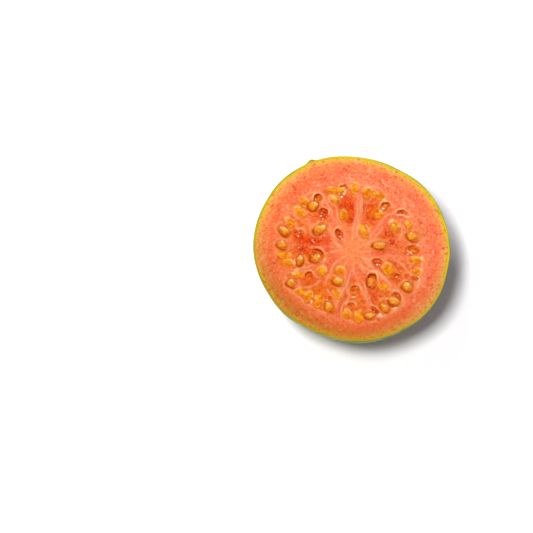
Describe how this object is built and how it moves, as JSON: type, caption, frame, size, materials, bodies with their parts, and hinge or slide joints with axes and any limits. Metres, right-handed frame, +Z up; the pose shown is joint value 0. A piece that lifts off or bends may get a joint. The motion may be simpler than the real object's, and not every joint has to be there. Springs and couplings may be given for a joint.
{
  "type": "guava half",
  "caption": "Pink guava cut crosswise, a half that rests on its blossom end with the seeded cut face up.",
  "frame": {"origin": "middle of the part's box in X and Y, on the surface that the flat resting ring stands on", "axes": "+Z up, out of the cut face; +X to the right and +Y away from the viewer in the reference picture"},
  "size_m": [0.0618, 0.061, 0.0276],
  "materials": {
    "guava_flesh": "moist coral-pink flesh with fine stone cells, soft and slightly translucent",
    "guava_skin": "thin waxy yellow-green skin with fine pores",
    "guava_seed": "hard golden seeds, wet with juice",
    "guava_crown": "dry brown papery sepals"
  },
  "bodies": {
    "root": {"guava_half": "guava_flesh"}
  },
  "joints": []
}
